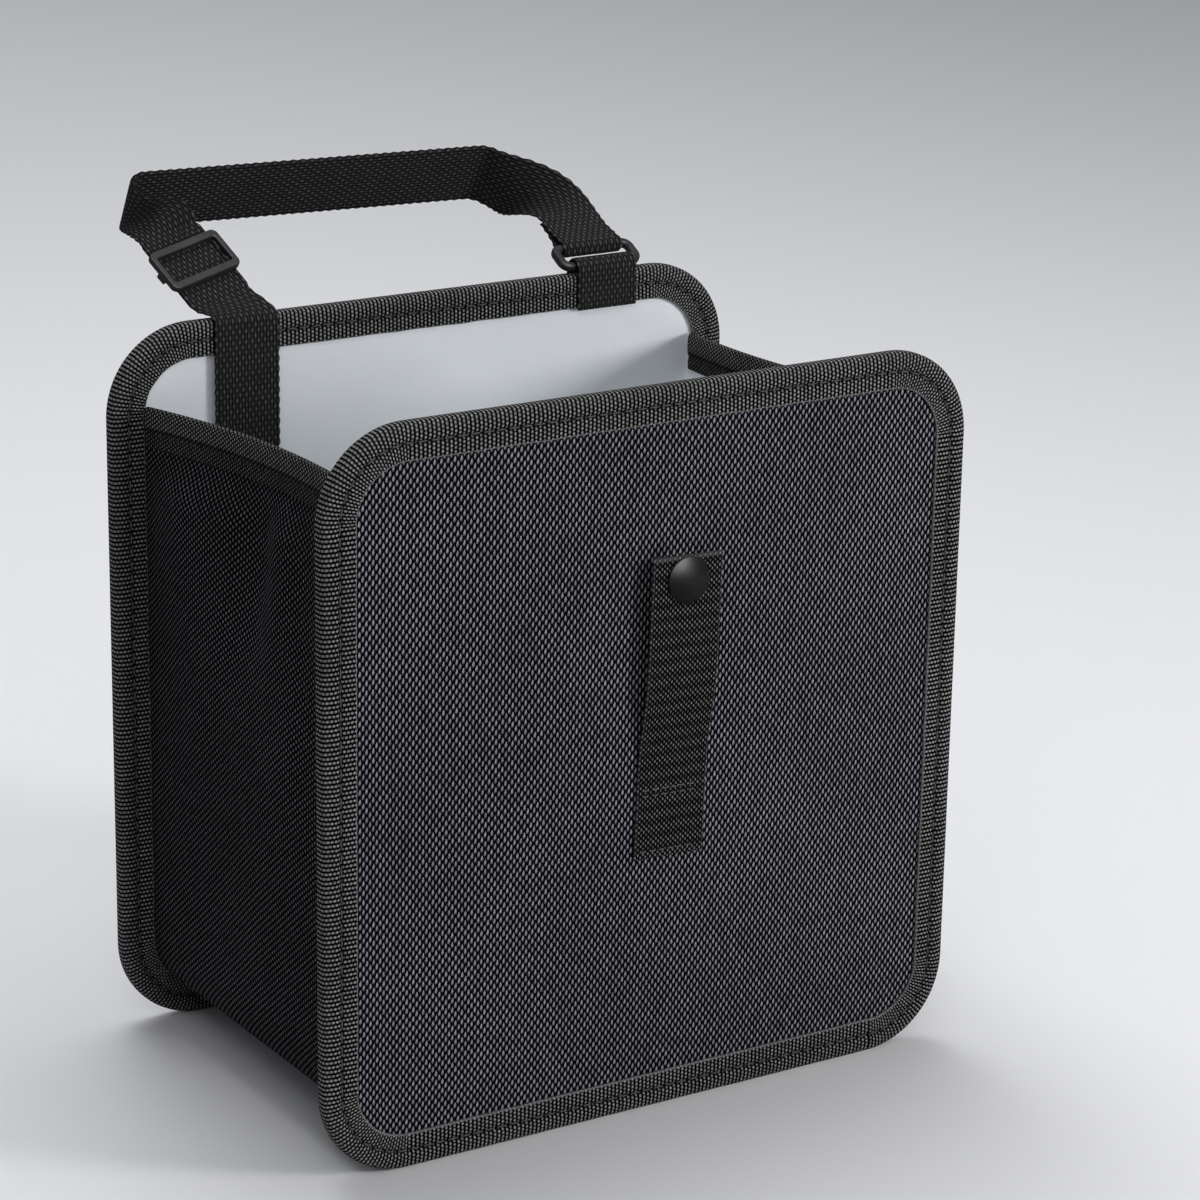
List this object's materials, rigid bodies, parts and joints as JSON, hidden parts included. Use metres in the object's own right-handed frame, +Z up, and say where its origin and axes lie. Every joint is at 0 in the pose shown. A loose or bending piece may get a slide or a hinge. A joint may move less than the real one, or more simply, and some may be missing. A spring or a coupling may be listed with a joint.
{
  "type": "car trash bin",
  "caption": "Foldable sewn bin with stiffened, bound front and back panels and a creased cloth gusset; an adjustable strap hangs it from headrest posts.",
  "frame": {"origin": "middle of the base of the whole object, strap loop and snap included", "axes": "+X to the right seen from the front panel, +Y from the front panel to the back panel, +Z up"},
  "size_m": [0.24, 0.2098, 0.2865],
  "materials": {
    "cover_cloth": "woven matt",
    "gusset_cloth": "woven matt",
    "binding_tape": "ribbed matt",
    "lining_film": "soft satin film",
    "board": "matt",
    "webbing": "woven matt",
    "buckle_plastic": "fine matt",
    "snap_black": "satin",
    "snap_metal": "satin"
  },
  "bodies": {
    "root": {"front_cover": "cover_cloth", "front_board": "board", "front_lining": "lining_film", "front_binding": "binding_tape", "back_cover": "cover_cloth", "back_board": "board", "back_lining": "lining_film", "back_binding": "binding_tape", "gusset": "gusset_cloth", "gusset_lining": "lining_film", "left_hem": "binding_tape", "right_hem": "binding_tape", "closure_strap": "webbing", "snap_cap": "snap_black", "snap_socket": "snap_metal", "snap_stud": "snap_metal", "snap_post": "snap_metal", "hanging_strap": "webbing", "strap_ring": "buckle_plastic", "ring_tab": "webbing"},
    "slide_buckle": {"slide_buckle": "buckle_plastic"}
  },
  "joints": [
    {"name": "buckle_slide", "type": "slide", "parent": "root", "child": "slide_buckle", "axis": [-0.2756, 0.7364, 0.6179], "range_m": [-0.006, 0.005]}
  ]
}
